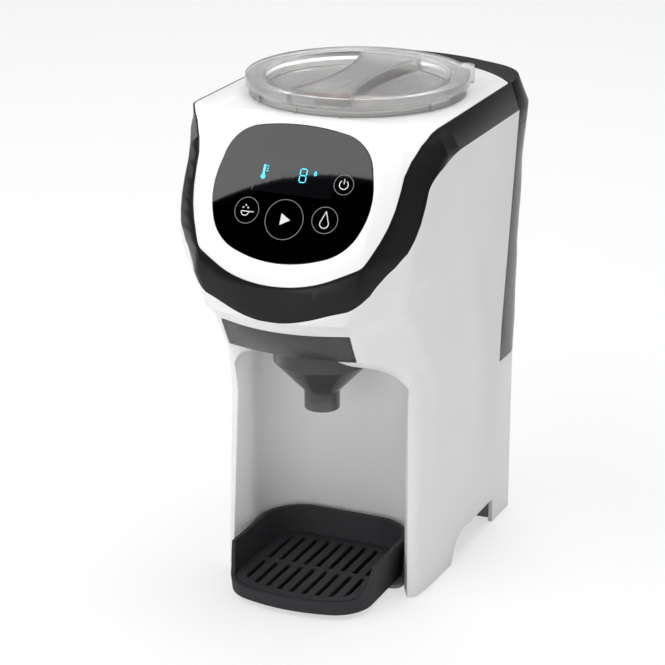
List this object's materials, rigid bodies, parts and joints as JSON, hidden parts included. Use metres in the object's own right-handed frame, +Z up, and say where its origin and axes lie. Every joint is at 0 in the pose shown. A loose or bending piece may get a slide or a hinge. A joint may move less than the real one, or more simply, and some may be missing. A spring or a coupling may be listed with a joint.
{
  "type": "baby formula maker",
  "caption": "Counter-top baby formula maker with sloping touch panel, powder container under a lift-off lid, rear water tank, slide-in funnel and drip tray.",
  "frame": {"origin": "on the table, under the middle of the machine's overall size", "axes": "+Z up, -Y towards the front with the panel, funnel and tray, +X to the right in a front view"},
  "size_m": [0.16, 0.2369, 0.3],
  "materials": {
    "white_shell": "fine satin white ABS",
    "white_cover": "smooth satin white ABS",
    "black_trim": "satin black ABS",
    "black_panel": "polished black acrylic",
    "frosted_lid": "frosted clear plastic",
    "clear_container": "frosted clear plastic",
    "smoke_tank": "smoke grey clear plastic",
    "smoke_funnel": "smoke grey plastic",
    "tray_plastic": "satin black plastic",
    "grey_plastic": "fine grey plastic",
    "white_acetal": "smooth acetal",
    "coral_plastic": "satin coral plastic",
    "silicone": "soft grey silicone",
    "foot_rubber": "matte rubber",
    "steel": "brushed stainless steel",
    "circuit_board": "green solder mask",
    "display_glass": "dark display with lit digits",
    "film": "printed touch film",
    "hose": "clear silicone hose",
    "cast_block": "cast aluminium"
  },
  "bodies": {
    "case": {"housing": "white_shell", "trim_band": "black_trim", "top_cover": "white_cover", "panel_lens": "black_panel", "touch_film": "film", "display_module": "display_glass", "control_board": "circuit_board", "hopper_seat": "grey_plastic", "gear_bracket": "grey_plastic", "powder_motor": "steel", "powder_chute": "grey_plastic", "funnel_guide": "grey_plastic", "funnel_switch": "black_trim", "water_nozzle": "steel", "water_pump": "black_trim", "water_heater": "cast_block", "heat_cutout": "black_trim", "feed_hose": "hose", "pressure_hose": "hose", "hot_hose": "hose", "base_plate": "grey_plastic", "bay_floor": "grey_plastic", "rubber_feet": "foot_rubber", "case_screws": "steel", "cord_gland": "black_trim", "power_board": "circuit_board", "tank_dock": "black_trim"},
    "container": {"powder_container": "clear_container", "outlet_guard": "white_acetal"},
    "lid": {"powder_lid": "frosted_lid", "lid_seal": "silicone"},
    "rotor": {"portion_wheel": "coral_plastic", "stirrer": "coral_plastic"},
    "gear": {"drive_hub": "white_acetal"},
    "pinion": {"motor_pinion": "white_acetal"},
    "funnel_unit": {"funnel": "smoke_funnel"},
    "plunger": {"switch_plunger": "white_acetal"},
    "tray": {"drip_tray": "tray_plastic"},
    "grate": {"drip_grate": "tray_plastic"},
    "tank": {"water_tank": "smoke_tank", "tank_hinge_pin": "steel", "valve_seal": "silicone", "valve_cage": "white_acetal", "valve_spring": "steel"},
    "tank_cover": {"tank_lid": "black_trim"},
    "valve": {"tank_valve": "white_acetal"},
    "float": {"tank_float": "white_acetal"}
  },
  "joints": [
    {"name": "container_lift", "type": "slide", "parent": "case", "child": "container", "axis": [0, 0, 1], "range_m": [0, 0.12]},
    {"name": "lid_lift", "type": "slide", "parent": "container", "child": "lid", "axis": [0, 0, 1], "range_m": [0, 0.08]},
    {"name": "rotor_turn", "type": "hinge", "parent": "container", "child": "rotor", "pos_m": [0, 0.003, 0.22], "axis": [0, 0, 1], "continuous": true},
    {"name": "gear_turn", "type": "hinge", "parent": "case", "child": "gear", "pos_m": [0, 0.003, 0.197], "axis": [0, 0, 1], "continuous": true},
    {"name": "pinion_turn", "type": "hinge", "parent": "case", "child": "pinion", "pos_m": [0, 0.044, 0.197], "axis": [0, 0, 1], "continuous": true},
    {"name": "funnel_slide", "type": "slide", "parent": "case", "child": "funnel_unit", "axis": [0, -1, 0], "range_m": [0, 0.1]},
    {"name": "plunger_press", "type": "slide", "parent": "case", "child": "plunger", "axis": [0, 1, 0], "range_m": [0, 0.0015], "stiffness_N_per_m": 200},
    {"name": "tray_slide", "type": "slide", "parent": "case", "child": "tray", "axis": [0, -1, 0], "range_m": [0, 0.1]},
    {"name": "grate_lift", "type": "slide", "parent": "tray", "child": "grate", "axis": [0, 0, 1], "range_m": [0, 0.06]},
    {"name": "tank_lift", "type": "slide", "parent": "case", "child": "tank", "axis": [0, 0, 1], "range_m": [0, 0.2]},
    {"name": "tank_lid_hinge", "type": "hinge", "parent": "tank", "child": "tank_cover", "pos_m": [0, 0.1154, 0.2643], "axis": [-1, 0, 0], "range_deg": [0, 95]},
    {"name": "valve_slide", "type": "slide", "parent": "tank", "child": "valve", "axis": [0, 0, 1], "range_m": [0, 0.0025], "stiffness_N_per_m": 60, "deforming": ["valve_spring"]},
    {"name": "float_slide", "type": "slide", "parent": "tank", "child": "float", "axis": [0, 0, 1], "range_m": [0, 0.018]}
  ],
  "couplings": [
    {"joint": "rotor_turn", "follows": "gear_turn", "ratio": 1},
    {"joint": "pinion_turn", "follows": "gear_turn", "ratio": -3.5}
  ]
}
